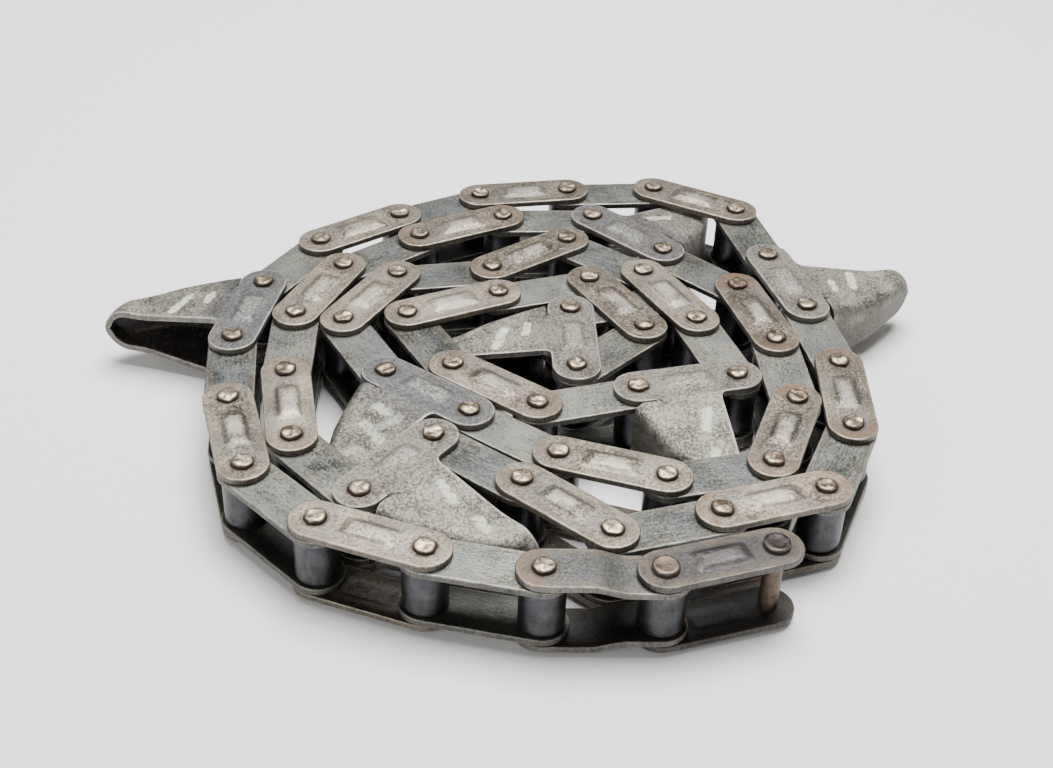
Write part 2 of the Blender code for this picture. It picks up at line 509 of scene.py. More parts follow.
@dataclass(frozen=True)
class PlateFinish:
    """Worn oily steel plate: speckled, brushed, with bright rims and stained ends; its walls, inner
    faces and pad hollow carry painted shade, and its pad a partly painted highlight.
    """

    name: str
    base: Colour
    shade: Colour
    rim: Colour
    wall: Colour
    stain: Colour
    speck: Colour
    tint: Colour
    metallic: float = 0.8
    roughness: float = 0.42
    brushing: float = 0.5
    stained: float = 0.6
    padded: bool = True
    rub_and_highlight: float = 0.50
    speckle: float = 3.6
    grime: Colour = (0.060, 0.044, 0.032)
    grease_and_shade: Colour = (0.020, 0.020, 0.020)
    edge_stain: Colour = (0.230, 0.150, 0.092)
    border_stain: Colour = (0.205, 0.158, 0.102)
    bloom: Colour = (0.300, 0.190, 0.115)
    rust: Colour = (0.150, 0.070, 0.034)
    # Grime and painted shadow along the pad's long sides.
    pad_dirt_and_shade: Colour = (0.060, 0.052, 0.046)
    # Painted shade for the hollow behind the pad.
    hollow: Colour = (0.028, 0.030, 0.036)

    def material(self) -> bpy.types.Material:
        """Builds the material.

        Returns:
            The finished material.
        """
        bench = SurfaceBench(self.name)
        blotch = bench.noise(75.0, 4.0, 0.6)
        grain = bench.noise(860.0, 4.0, 0.85)
        brushed = bench.noise(1.0, 3.0, 0.7, bench.stretched(120.0, 1700.0, 600.0))
        cloud = (blotch - 0.5) * 1.2 + (grain - 0.5) * self.speckle
        cloud = cloud + (brushed - 0.5) * self.brushing * 1.2 + (bench.tone - 0.5) * 0.5
        colour = bench.mix((cloud + 0.5).ramp(0.0, 1.0), self.shade, self.base)
        tinted = bench.noise(55.0, 3.0, 0.5).ramp(0.42, 0.62) * 0.55
        colour = bench.mix(tinted * (cloud + 0.9).least(1.0), colour, self.tint)
        colour = self.stains(bench, colour)
        if self.padded:
            colour = self.pad_wear_and_painted_light(bench, colour, blotch, grain)
        ring = bench.from_pins().ramp(6.2, 4.3)
        grime = ring * (bench.noise(520.0, 3.0) + 0.25).ramp(0.45, 0.80) * 0.8
        colour = bench.mix(grime, colour, self.grime)
        # Painted shade, partly oil: the inner faces between the plates go dark.
        colour = bench.mix(bench.inside * 0.72, colour, self.grease_and_shade)
        # The upright walls take the sheared edge's colour, kept darker than the face partly as
        # painted shade.
        wall = bench.wall()
        shear = bench.noise(1.0, 3.0, 0.7, bench.stretched(1300.0, 1300.0, 260.0))
        wall_colour_and_shade = bench.mix((shear * 0.6 + blotch * 0.5).ramp(0.30, 0.85), self.shade, self.wall)
        colour = bench.mix(wall, colour, wall_colour_and_shade)
        worn_rim = bench.worn_rim(0.52, 0.86)
        colour = bench.mix(worn_rim * 0.62, colour, self.rim)
        rough = 0.30 * grain + 0.22 * blotch + self.roughness - 0.26 + wall * 0.10
        rough = rough + grime * 0.2 - worn_rim * 0.08
        height = grain * 0.8 + brushed * self.brushing * 0.4 + wall * shear * 0.4
        metallic = self.metallic - 0.5 * grime
        return bench.finish(colour, rough, metallic, height, 0.00026)

    def stains(self, bench: SurfaceBench, colour: Value) -> Value:
        """Adds oil stains, dark specks and the rust at some links' ends.

        Args:
            bench: The material's bench.
            colour: The plate's colour so far.

        Returns:
            The stained colour.
        """
        ends = bench.along.ramp(14.0, 30.0)
        patches = bench.noise(170.0, 5.0, 0.75, bench.stretched(1.0, 1.0, 0.4))
        colour = bench.mix(ends * patches.ramp(0.46, 0.72) * self.stained, colour, self.stain)
        edge = bench.across.ramp(5.5, 9.0) * ends * patches.ramp(0.40, 0.60)
        colour = bench.mix(edge * self.stained * 0.6, colour, self.edge_stain)
        border = bench.across.ramp(4.5, 9.2).most(bench.along.ramp(21.0, 30.5))
        border = border * patches.ramp(0.28, 0.60) * self.stained * 0.75
        colour = bench.mix(border, colour, self.border_stain)
        specks = bench.noise(1050.0, 2.0, 0.5).ramp(0.61, 0.69)
        colour = bench.mix(specks * 0.6, colour, self.speck)
        far = bench.along.ramp(17.0, 27.0) * bench.rust
        veins = bench.noise(300.0, 5.0, 0.8)
        rusty = far * (veins + patches * 0.5).ramp(0.68, 0.86)
        rusty = rusty * (0.45 + 0.55 * bench.across.ramp(2.0, 8.5))
        colour = bench.mix(far * patches.ramp(0.38, 0.62) * 0.5, colour, self.bloom)
        return bench.mix(rusty * 0.9, colour, self.rust)

    def pad_wear_and_painted_light(
        self, bench: SurfaceBench, colour: Value, blotch: Value, grain: Value
    ) -> Value:
        """Rubs the raised pad bright, partly as wear and partly as a painted highlight, darkens
        along its sides with grime and painted shadow, and paints shade into the hollow behind it.

        Args:
            bench: The material's bench.
            colour: The plate's colour so far.
            blotch: The plate's broad mottling.
            grain: Its fine grain.

        Returns:
            The colour with the pad's wear, painted highlight and painted shade.
        """
        sizes = ChainSizes()
        out = sizes.face - sizes.top / 2
        outside = abs(bench.z - sizes.top / 2).ramp(out - 0.5, out - 0.1)
        ragged = bench.ragged(5.0)
        shift = (bench.tone - 0.5) * 6.0
        top = (abs(bench.x - sizes.pitch / 2 + shift) + ragged).ramp(9.5, 2.5)
        # The rubbed patch on the pad's top is partly wear and partly a painted highlight.
        rubbed = top * (bench.across + ragged * 0.5).ramp(4.6, 1.0) * (grain + blotch - 0.4)
        colour = bench.mix(rubbed.ramp(0.10, 0.70) * outside * self.rub_and_highlight, colour, self.rim)
        # Dark bands along the pad's long sides, stronger on one side: partly grime, partly the
        # pad's painted shadow.
        side = (bench.y * (bench.tone - 0.5) * 40.0).ramp(-2.0, 2.0)
        dirt_and_shade = bench.across.ramp(2.9, 4.6) * bench.across.ramp(7.0, 5.2)
        dirt_and_shade = dirt_and_shade * bench.along.ramp(11.0, 6.5) * (0.15 + 0.6 * side)
        colour = bench.mix(dirt_and_shade * (grain + 0.3).ramp(0.35, 0.90) * 0.42, colour, self.pad_dirt_and_shade)
        # Painted shade in the hollow behind the pad on the plate's inner face.
        hollow = (1.0 - outside) * bench.along.ramp(10.8, 8.8) * bench.across.ramp(5.2, 4.0)
        return bench.mix(hollow * 0.25, colour, self.hollow)


@dataclass(frozen=True)
class RollerFinish:
    """Dark hardened steel, smooth, with faint scuffs round it."""

    name: str = "roller_steel"
    base: Colour = (0.088, 0.089, 0.093)
    shade: Colour = (0.022, 0.022, 0.024)
    rim: Colour = (0.32, 0.31, 0.30)

    def material(self) -> bpy.types.Material:
        """Builds the material.

        Returns:
            The finished material.
        """
        bench = SurfaceBench(self.name)
        cloud = bench.noise(140.0, 4.0, 0.6)
        scuffs = bench.noise(1.0, 3.0, 0.6, bench.stretched(420.0, 420.0, 150.0))
        grain = bench.noise(1500.0, 2.0, 0.6)
        mixed = cloud * 0.6 + scuffs * 0.3 + grain * 0.25
        colour = bench.mix(mixed.ramp(0.30, 0.85), self.shade, self.base)
        colour = bench.mix(bench.rim * 0.6, colour, self.rim)
        rough = cloud * 0.18 + grain * 0.12 + 0.22
        return bench.finish(colour, rough, 0.9, grain * 0.3 + cloud * 0.3, 0.00005)


@dataclass(frozen=True)
class RivetFinish:
    """Pin steel: peened or turned heads with a brown rusty skirt, and bare shanks.

    A far_tint over 0 turns the heads of the link's second pin tan and gives both
    pins' heads a lighter edge.
    """

    name: str
    base: Colour = (0.53, 0.445, 0.330)
    shade: Colour = (0.170, 0.125, 0.085)
    skirt: Colour = (0.050, 0.032, 0.022)
    rough: float = 0.34
    radius: float = 4.1
    far_tint: float = 0.0
    far_base: Colour = (0.26, 0.20, 0.145)
    far_shade: Colour = (0.075, 0.052, 0.036)
    edge: Colour = (0.30, 0.26, 0.22)

    def material(self) -> bpy.types.Material:
        """Builds the material.

        Returns:
            The finished material.
        """
        bench = SurfaceBench(self.name)
        cloud = bench.noise(330.0, 4.0, 0.65)
        grain = bench.noise(2400.0, 2.0, 0.6)
        mixed = (cloud + (grain - 0.5) * 0.6 - bench.rust * 0.12).ramp(0.34, 0.62)
        colour = bench.mix(mixed, self.shade, self.base)
        off = bench.from_pins()
        far = bench.x.ramp(10.0, 30.0) * self.far_tint
        colour = bench.mix(far, colour, bench.mix(cloud, self.far_shade, self.far_base))
        edge = off.ramp(self.radius - 0.55, self.radius - 0.3) * self.far_tint
        colour = bench.mix(edge, colour, self.edge)
        skirt = (off + (cloud - 0.5) * 1.6 * (1.0 - self.far_tint)).ramp(
            self.radius - 0.9 + self.far_tint, self.radius - 0.1 + self.far_tint * 0.3
        )
        colour = bench.mix(skirt, colour, self.skirt)
        rough = self.rough + cloud * 0.25 + skirt * 0.2 - 0.08
        metallic = 0.92 - skirt * 0.5
        return bench.finish(colour, rough, metallic, grain * 0.4 + cloud, 0.00018)


@dataclass(frozen=True)
class PaddleFinish:
    """Hot-rolled sheet with speckled scale, a faint heat tint and chalk rubs, painted shade on its
    web and inner faces, and a partly painted highlight on its pad.
    """

    name: str = "paddle_steel"
    base: Colour = (0.365, 0.330, 0.268)
    shade: Colour = (0.062, 0.057, 0.050)
    cold: Colour = (0.190, 0.196, 0.212)
    light: Colour = (0.60, 0.56, 0.48)
    dark: Colour = (0.040, 0.038, 0.038)
    chalk: Colour = (0.70, 0.72, 0.60)
    shadow: Colour = (0.072, 0.066, 0.060)
    grease_and_shade: Colour = (0.030, 0.027, 0.033)
    rim: Colour = (0.60, 0.57, 0.52)
    # Colour of the pad's rubbed patch, partly wear and partly a painted highlight.
    pad: Colour = (0.58, 0.56, 0.50)
    grime: Colour = (0.050, 0.036, 0.028)
    crack: Colour = (0.035, 0.030, 0.026)
    sheared: tuple[Colour, Colour] = ((0.10, 0.09, 0.08), (0.22, 0.20, 0.175))

    def material(self) -> bpy.types.Material:
        """Builds the material.

        Returns:
            The finished material.
        """
        bench = SurfaceBench(self.name)
        blotch = bench.noise(70.0, 4.0, 0.6)
        grain = bench.noise(840.0, 4.0, 0.85)
        speck = bench.noise(1200.0, 2.0, 0.7)
        away = bench.y.ramp(3.0, 22.0)
        mixed = (grain - 0.5) * (3.4 + away * 1.1) + (blotch - 0.5) * 1.5 + 0.5 - bench.rust * 0.3
        colour = bench.mix(mixed.ramp(0.0, 1.0), self.shade, self.base)
        pale = (speck * 0.6 + grain * 0.5).ramp(0.60, 0.72) * (0.15 + away * 0.6)
        colour = bench.mix(pale, colour, self.light)
        pitted = bench.noise(1150.0, 2.0, 0.6).ramp(0.57, 0.67) * (0.25 + away * 0.28)
        colour = bench.mix(pitted, colour, self.dark)
        # Painted shade on the paddle's web below the fold.
        web = bench.wall() * bench.y.ramp(11.0, 16.0)
        colour = bench.mix(web * 0.66, colour, self.shadow)
        plate = bench.y.ramp(26.0, 6.0)
        heat = plate * (blotch * 0.7 + bench.tone * 0.55).ramp(0.36, 0.80)
        cold = bench.mix(((grain - 0.5) * 3.0 + 0.5).ramp(0.0, 1.0), self.shade, self.cold)
        colour = bench.mix(heat * 0.8, colour, cold)
        # Painted shade, partly oil: the paddle's inner faces and the inside of its fold go dark.
        colour = bench.mix(bench.inside * 0.62, colour, self.grease_and_shade)
        colour = self.worn(bench, colour, blotch)
        colour = bench.mix(bench.worn_rim(0.45, 0.80) * 0.75, colour, self.rim)
        rubbed = self.rubs(bench)
        colour = bench.mix(rubbed, colour, self.chalk)
        rough = 0.36 + 0.30 * grain - heat * 0.06 + rubbed * 0.25 - bench.inside * 0.08
        height = grain * 0.9 + speck * 0.5
        return bench.finish(colour, rough, 0.7 - rubbed * 0.7, height, 0.00034)

    def worn(self, bench: SurfaceBench, colour: Value, blotch: Value) -> Value:
        """Rubs the plate's pad bright, partly as wear and partly as a painted highlight, and
        darkens its walls, its slit's end and each pin's ring.

        Args:
            bench: The material's bench.
            colour: The sheet's colour so far.
            blotch: Its broad mottling.

        Returns:
            The worn colour.
        """
        # The rubbed pad is partly wear and partly a painted highlight.
        ragged = bench.ragged(5.0)
        rubbed = (bench.along + ragged).ramp(11.0, 5.0)
        rubbed = rubbed * (bench.across + ragged * 0.4).ramp(5.6, 2.4)
        rubbed = rubbed * bench.noise(900.0, 3.0, 0.8).ramp(0.42, 0.66)
        colour = bench.mix(rubbed * 0.65, colour, self.pad)
        grime = bench.from_pins().ramp(6.2, 4.3) * (blotch + 0.2).ramp(0.4, 0.8) * 0.7
        colour = bench.mix(grime, colour, self.grime)
        crack = bench.stroke((38.2, 10.1), (35.6, 10.2), 0.9)
        crack = crack.most(bench.stroke((35.6, 10.2), (33.9, 12.0), 0.9))
        colour = bench.mix(crack * bench.z.ramp(24.0, 26.0) * 0.85, colour, self.crack)
        wall = bench.wall() * bench.across.ramp(13.0, 10.0)
        return bench.mix(wall, colour, bench.mix(blotch, *self.sheared))

    def rubs(self, bench: SurfaceBench) -> Value:
        """Gives the chalk dabs on the paddle's top, a different few on each link.

        Args:
            bench: The material's bench.

        Returns:
            The dabs' mask.
        """
        top = bench.z.ramp(18.0, 22.0)
        long_dab = bench.stroke((17.5, 32.0), (28.5, 28.5), 4.2)
        short_dab = bench.stroke((24.5, 19.5), (30.5, 18.5), 3.6)
        cross_dab = bench.stroke((19.0, 19.0), (22.5, 27.5), 4.2)
        low_dab = bench.stroke((22.5, 39.5), (25.0, 44.5), 3.8)
        turn = bench.tone * 7.0
        odd = (turn - turn.floor()).ramp(0.35, 0.55)
        some = (long_dab.most(short_dab) * odd).most(cross_dab.most(low_dab) * (1.0 - odd))
        streaks = bench.noise(1.0, 3.0, 0.7, bench.stretched(1500.0, 420.0, 300.0))
        patchy = (bench.noise(700.0, 4.0, 0.8) * 0.6 + streaks * 0.4).ramp(0.36, 0.54)
        smear = (bench.noise(120.0, 3.0, 0.6) - 0.42).most(0.0) * bench.y.ramp(14.0, 22.0)
        return top * (some * patchy * 0.85 + smear * patchy * 0.9).least(1.0)


def put(name: str, data: bpy.types.ID) -> bpy.types.Object:
    """Makes an object of a mesh, a lamp or a camera and puts it in the scene.

    Args:
        name: The object's name.
        data: What it shows.

    Returns:
        The object.
    """
    obj = bpy.data.objects.new(name, data)
    bpy.context.scene.collection.objects.link(obj)
    return obj


class Mould:
    """One master shape in a link's own frame: x along the link, z above the floor."""

    def __init__(self) -> None:
        """Starts an empty shape, in millimetres."""
        self.bm = bmesh.new()
        self.rim = self.bm.verts.layers.float.new("rim")
        self.peen = self.bm.verts.layers.float.new("peen")
        self.place = self.bm.verts.layers.float_vector.new("place")

    def vertex(
        self, x: float, y: float, z: float, rim: float = 0.0, peen: float = 0.0
    ) -> bmesh.types.BMVert:
        """Adds one point, with how worn and how hammered it is.

        Args:
            x: Along the link.
            y: Across it.
            z: Above the floor.
            rim: How worn it is, or -1 on an inner face, which the finishes paint dark, partly as
                oil and partly as painted shade.
            peen: How hammered it is, and which way.

        Returns:
            The point.
        """
        vert = self.bm.verts.new((x, y, z))
        vert[self.rim] = rim
        vert[self.peen] = peen
        return vert

    def ring(
        self, points: list[Point], z: float, rim: float = 0.0, peen: float = 0.0
    ) -> Loop:
        """Adds a level ring of points."""
        return [self.vertex(x, y, z, rim, peen) for x, y in points]

    def bridge(
        self, first: Loop, second: Loop
    ) -> None:
        """Joins two closed rings of the same count.

        Args:
            first: One ring.
            second: The other ring.
        """
        count = len(first)
        for i in range(count):
            j = (i + 1) % count
            self.bm.faces.new((first[i], first[j], second[j], second[i]))

    def skin(self, rings: list[Loop]) -> None:
        """Joins each ring to the next."""
        for first, second in zip(rings, rings[1:]):
            self.bridge(first, second)

    def lathe(
        self, x: float, profile: list[tuple[float, float, float, float]], sides: int, closed: bool
    ) -> None:
        """Turns a profile round the upright axis at x.

        Args:
            x: Where the axis stands along the link.
            profile: Radius, height, rim and peen of each ring.
            sides: How many sides the rings have.
            closed: True for a tube, whose last ring joins its first; else it is capped.
        """
        rings = [
            self.ring(circle(x, radius, sides), z, rim, peen) for radius, z, rim, peen in profile
        ]
        self.skin(rings)
        if closed:
            self.bridge(rings[-1], rings[0])
        else:
            self.bm.faces.new(rings[0])
            self.bm.faces.new(rings[-1])

    def fill(self, *loops: Loop) -> None:
        """Fills the flat between an outline and the holes in it.

        Args:
            loops: The outline, then the holes.
        """
        edges = []
        for loop in loops:
            for i in range(len(loop)):
                pair = (loop[i - 1], loop[i])
                edges.append(self.bm.edges.get(pair) or self.bm.edges.new(pair))
        bmesh.ops.triangle_fill(self.bm, use_beauty=True, use_dissolve=False, edges=edges)

    def object(self, name: str, sharp: float = 38.0) -> bpy.types.Object:
        """Closes the shape and makes it an object, with its own coordinates kept.

        Args:
            name: The object's name.
            sharp: The edge angle past which shading breaks, in degrees.

        Returns:
            The master object, in metres.
        """
        bmesh.ops.recalc_face_normals(self.bm, faces=self.bm.faces)
        for vert in self.bm.verts:
            vert.co = vert.co * MM
            vert[self.place] = vert.co
        mesh = bpy.data.meshes.new(name)
        self.bm.to_mesh(mesh)
        self.bm.free()
        mesh.shade_smooth()
        mesh.set_sharp_from_angle(angle=math.radians(sharp))
        return put(name, mesh)


def circle(x: float, radius: float, sides: int) -> list[Point]:
    """Gives the corners of a round at x on the link's line."""
    angles = [2 * math.pi * i / sides for i in range(sides)]
    return [(x + radius * math.cos(a), radius * math.sin(a)) for a in angles]


def stadium(pitch: float, radius: float, steps: int) -> list[Point]:
    """Gives the outline of a link plate, with round ends.

    Args:
        pitch: The distance between the ends' centres.
        radius: The radius of the ends.
        steps: How many steps each end has.

    Returns:
        The outline's points.
    """
    found = []
    for x, first in ((pitch, -90.0), (0.0, 90.0)):
        for i in range(steps + 1):
            angle = math.radians(first + 180.0 * i / steps)
            found.append((x + radius * math.cos(angle), radius * math.sin(angle)))
    return found


def smooth_step(value: float) -> float:
    """Eases from 0 to 1."""
    t = min(max(value, 0.0), 1.0)
    return t * t * (3 - 2 * t)


@dataclass(frozen=True)
class PlateShape:
    """A punched link plate: rounded rim, upright wall and, if asked, a raised pad.

    A tongued plate goes over into a paddle's sheet along part of its front side.
    """

    sizes: ChainSizes
    low: float
    side: Side
    padded: bool = False
    bored: bool = False
    tongued: bool = False
    end_steps: int = 14
    rim_depth: float = 0.6
    rise: float = 1.2
    hollow: float = 0.5
    half_length: float = 11.2
    half_width: float = 5.4
    ramp_length: float = 4.4
    ramp_width: float = 2.9
    tongue: tuple[float, ...] = (37.6, 37.0, 30.0, 20.0, 12.0, 9.5, 8.6)
    lines_x: tuple[float, ...] = (0.0, 3.0, 5.6, 6.9, 7.7, 8.5, 9.3, 10.1, 10.7, 11.4)
    lines_y: tuple[float, ...] = (0.0, 1.6, 3.0, 3.5, 3.95, 4.4, 4.8, 5.2, 5.9)

    @property
    def outward(self) -> float:
        """Which way the outer face looks, up or down."""
        return float(self.side.value)

    @property
    def face(self) -> float:
        """The level of the outer face."""
        return self.low + self.sizes.plate if self.side is Side.HIGH else self.low

    def profile(self) -> list[tuple[float, float, float]]:
        """Gives inset, depth below the outer face, and wear, from face to face.

        Returns:
            The rows, from the outer face to the inner one.
        """
        deep = self.sizes.plate
        return [
            (1.2, 0.0, 0.0),
            (0.65, 0.0, 0.2),
            (0.42, 0.0, 0.9),
            (0.17, 0.12, 1.0),
            (0.03, 0.38, 0.8),
            (0.03, 0.70, 0.0),
            (0.03, deep - 0.5, 0.0),
            (0.06, deep - 0.2, 0.4),
            (0.28, deep, 0.5),
            (0.6, deep, -1.0),
        ]

    def outline(
        self, mould: Mould, inset: float, depth: float, wear: float
    ) -> Loop:
        """Adds one ring of the plate's outline.

        Args:
            mould: The shape it goes into.
            inset: How far it lies inside the plate's edge.
            depth: How far it lies under the outer face.
            wear: How worn it is.

        Returns:
            The ring, which is flat and unworn where a paddle's tongue leaves the plate.
        """
        radius = self.sizes.end_radius - inset
        points = stadium(self.sizes.pitch, radius, self.end_steps)
        if self.tongued:
            half = self.end_steps + 1
            points[half:half] = [(x, radius) for x in self.tongue]
        last, first = self.tongue[-1], self.tongue[0]
        ring = []
        for x, y in points:
            joined = self.tongued and y > 0 and last < x < first and depth < self.rim_depth
            drop = depth * (0.04 if joined else 1.0)
            worn = 0.0 if joined else wear
            ring.append(mould.vertex(x, y, self.face - self.outward * drop, worn))
        return ring

    def pad_height(self, x: float, y: float) -> float:
        """Gives how far the pad stands out of the plate's face.

        Args:
            x: The distance along the link from the plate's middle.
            y: The distance across.

        Returns:
            The height, in millimetres.
        """
        along = smooth_step((self.half_length - abs(x)) / self.ramp_length)
        across = smooth_step((self.half_width - abs(y)) / self.ramp_width)
        return self.rise * along * across

    def pad_grid(self, mould: Mould, z: float, share: float, wear: float) -> Loop:
        """Adds the pad's own fine grid.

        Args:
            mould: The shape it goes into.
            z: The level of the face.
            share: How much of the pad's height shows on this face.
            wear: How worn it is, or -1 on the inner face, which is painted dark, partly as oil and
                partly as painted shade.

        Returns:
            The grid's outer loop.
        """
        xs = sorted({-v for v in self.lines_x} | set(self.lines_x))
        ys = sorted({-v for v in self.lines_y} | set(self.lines_y))
        middle = self.sizes.pitch / 2
        lift = self.outward * share
        grid = [
            [mould.vertex(middle + x, y, z + lift * self.pad_height(x, y), wear) for x in xs]
            for y in ys
        ]
        for j in range(len(ys) - 1):
            for i in range(len(xs) - 1):
                corners = (grid[j][i], grid[j][i + 1], grid[j + 1][i + 1], grid[j + 1][i])
                mould.bm.faces.new(corners)
        loop = grid[0][:-1] + [row[-1] for row in grid[:-1]]
        return loop + grid[-1][:0:-1] + [row[0] for row in grid[:0:-1]]

    def add(self, mould: Mould) -> None:
        """Adds the plate to a shape.

        Args:
            mould: The shape it goes into.
        """
        sizes = self.sizes
        rings = [self.outline(mould, *row) for row in self.profile()]
        mould.skin(rings)
        back = self.face - self.outward * sizes.plate
        outer_holes: list[Loop] = []
        inner_holes: list[Loop] = []
        if self.padded:
            outer_holes.append(self.pad_grid(mould, self.face, 1.0, 0.0))
            inner_holes.append(self.pad_grid(mould, back, self.hollow, -1.0))
        if self.bored:
            for x in (0.0, sizes.pitch):
                points = circle(x, sizes.bush_radius + 0.05, 20)
                outer_holes.append(mould.ring(points, self.face))
                inner_holes.append(mould.ring(points, back, -1.0))
                mould.bridge(outer_holes[-1], inner_holes[-1])
        mould.fill(rings[0], *outer_holes)
        mould.fill(rings[-1], *inner_holes)


@dataclass(frozen=True)
class RoundShapes:
    """The turned pieces: rollers, bushes, pins and their heads."""

    sizes: ChainSizes
    peen_start: float = 0.6
    roller_play: float = 0.25

    def roller(self, mould: Mould, x: float) -> None:
        """Adds a roller with rounded ends, a little short of both inner plates.

        Args:
            mould: The shape it goes into.
            x: Where the pin stands along the link.
        """
        r = self.sizes.roller_radius
        low = self.sizes.inner_low + self.sizes.plate + self.roller_play
        high = self.sizes.inner_high - self.roller_play
        hole = self.sizes.bush_radius + 0.2
        half = [
            (hole, 0.0, 0.0), (r - 0.9, 0.0, 0.3), (r - 0.25, 0.12, 1.0),
            (r, 0.6, 0.4), (r, 1.4, 0.0),
        ]
        profile = [(radius, low + z, rim, 0.0) for radius, z, rim in half]
        profile += [(radius, high - z, rim, 0.0) for radius, z, rim in reversed(half)]
        mould.lathe(x, profile, 36, True)

    def bush(self, mould: Mould, x: float) -> None:
        """Adds a bush from face to face of the inner plates.

        Args:
            mould: The shape it goes into.
            x: Where the pin stands along the link.
        """
        low = self.sizes.inner_low
        high = self.sizes.inner_high + self.sizes.plate
        inside, outside = self.sizes.bore_radius, self.sizes.bush_radius
        half = [
            (inside, 0.4, 0.0), (inside + 0.35, 0.0, 0.8),
            (outside - 0.15, 0.0, 0.5), (outside, 0.15, 0.0),
        ]
        profile = [(radius, low + z, rim, 0.0) for radius, z, rim in half]
        profile += [(radius, high - z, rim, 0.0) for radius, z, rim in reversed(half)]
        mould.lathe(x, profile, 20, True)

    def pin(self, mould: Mould, x: float) -> None:
        """Adds the pin's shank between the outer plates.

        Args:
            mould: The shape it goes into.
            x: Where the pin stands along the link.
        """
        radius = self.sizes.pin_radius
        low = self.sizes.outer_low + self.sizes.plate * 0.5
        high = self.sizes.outer_high + self.sizes.plate * 0.5
        levels = [low + (high - low) * i / 4 for i in range(5)]
        mould.lathe(x, [(radius, z, 0.0, 0.0) for z in levels], 24, False)

    def heads(self, mould: Mould, x: float, profile: list[Point], peen: float, sides: int) -> None:
        """Adds both heads of a pin.

        Args:
            mould: The shape they go into.
            x: Where the pin stands.
            profile: Radius and height above the plate's face, from the face up.
            peen: How hammered the head is.
            sides: How many sides it has.
        """
        for side in Side:
            face = self.sizes.face if side is Side.HIGH else self.sizes.outer_low
            rings = []
            for radius, z in profile:
                hammered = side.value * peen * min(1.0, max(z, 0.0) / self.peen_start)
                rings.append((radius, face + side.value * z, 0.0, hammered))
            mould.lathe(x, rings, sides, False)

    def riveted(self, mould: Mould, x: float) -> None:
        """Adds hammered heads.

        Args:
            mould: The shape it goes into.
            x: Where the pin stands along the link.
        """
        profile = [
            (3.8, -0.3), (4.05, 0.05), (4.2, 0.5), (4.2, 1.1), (4.05, 1.5),
            (3.7, 1.82), (3.1, 1.98), (2.0, 2.04), (0.7, 2.04),
        ]
        self.heads(mould, x, profile, 1.0, 20)

    def turned(self, mould: Mould, x: float) -> None:
        """Adds the connecting pins' broad smooth heads.

        Args:
            mould: The shape it goes into.
            x: Where the pin stands along the link.
        """
        profile = [
            (4.6, -0.3), (4.9, 0.0), (4.95, 1.3), (4.85, 1.75), (4.55, 2.05),
            (4.1, 2.15), (3.4, 2.1), (1.8, 2.0), (0.6, 2.0),
        ]
        self.heads(mould, x, profile, 0.15, 28)


@dataclass(frozen=True)
class CrankedPlate:
    """The offset link's plate, which steps from the inner to the outer level."""

    sizes: ChainSizes
    side: Side
    start: float = 11.5
    stop: float = 25.5
    steps: int = 10

    def level(self, x: float) -> float:
        """Gives how far the plate has stepped outwards at x."""
        step = self.sizes.plate + self.sizes.clearance
        return step * smooth_step((x - self.start) / (self.stop - self.start))

    def stations(self) -> list[float]:
        """Gives the places along the straight sides at which the outline has points."""
        first, length = self.start - 1.5, self.stop - self.start + 3.0
        return [first + length * i / 14 for i in range(15)] + [self.sizes.pitch * 0.85]

    def outline(self, radius: float) -> list[Point]:
        """Gives one side of the outline, from the near end to the far end.

        Args:
            radius: The radius of the plate's ends there.

        Returns:
            The points of that side.
        """
        pitch = self.sizes.pitch
        near = [math.pi - math.pi / 2 * i / self.steps for i in range(1, self.steps + 1)]
        far = [math.pi / 2 - math.pi / 2 * i / self.steps for i in range(self.steps)]
        found = [(radius * math.cos(a), radius * math.sin(a)) for a in near]
        found += [(x, radius) for x in self.stations()]
        return found + [(pitch + radius * math.cos(a), radius * math.sin(a)) for a in far]

    def add(self, mould: Mould) -> None:
        """Adds the plate to a shape.

        Args:
            mould: The shape it goes into.
        """
        sizes = self.sizes
        outward = float(self.side.value)
        inner = sizes.inner_high + sizes.plate if self.side is Side.HIGH else sizes.inner_low
        shape = PlateShape(sizes, 0.0, self.side)
        rings = []
        for inset, depth, wear in shape.profile():
            radius = sizes.end_radius - inset
            half = self.outline(radius)
            whole = [(-radius, 0.0)] + half + [(sizes.pitch + radius, 0.0)]
            whole += [(x, -y) for x, y in reversed(half)]
            rings.append(
                [
                    mould.vertex(x, y, inner + outward * (self.level(x) - depth), wear)
                    for x, y in whole
                ]
            )
        mould.skin(rings)
        for ring in (rings[0], rings[-1]):
            count = len(ring)
            for i in range(count // 2):
                across = (ring[i], ring[i + 1], ring[count - i - 1], ring[(count - i) % count])
                mould.bm.faces.new(list(dict.fromkeys(across)))


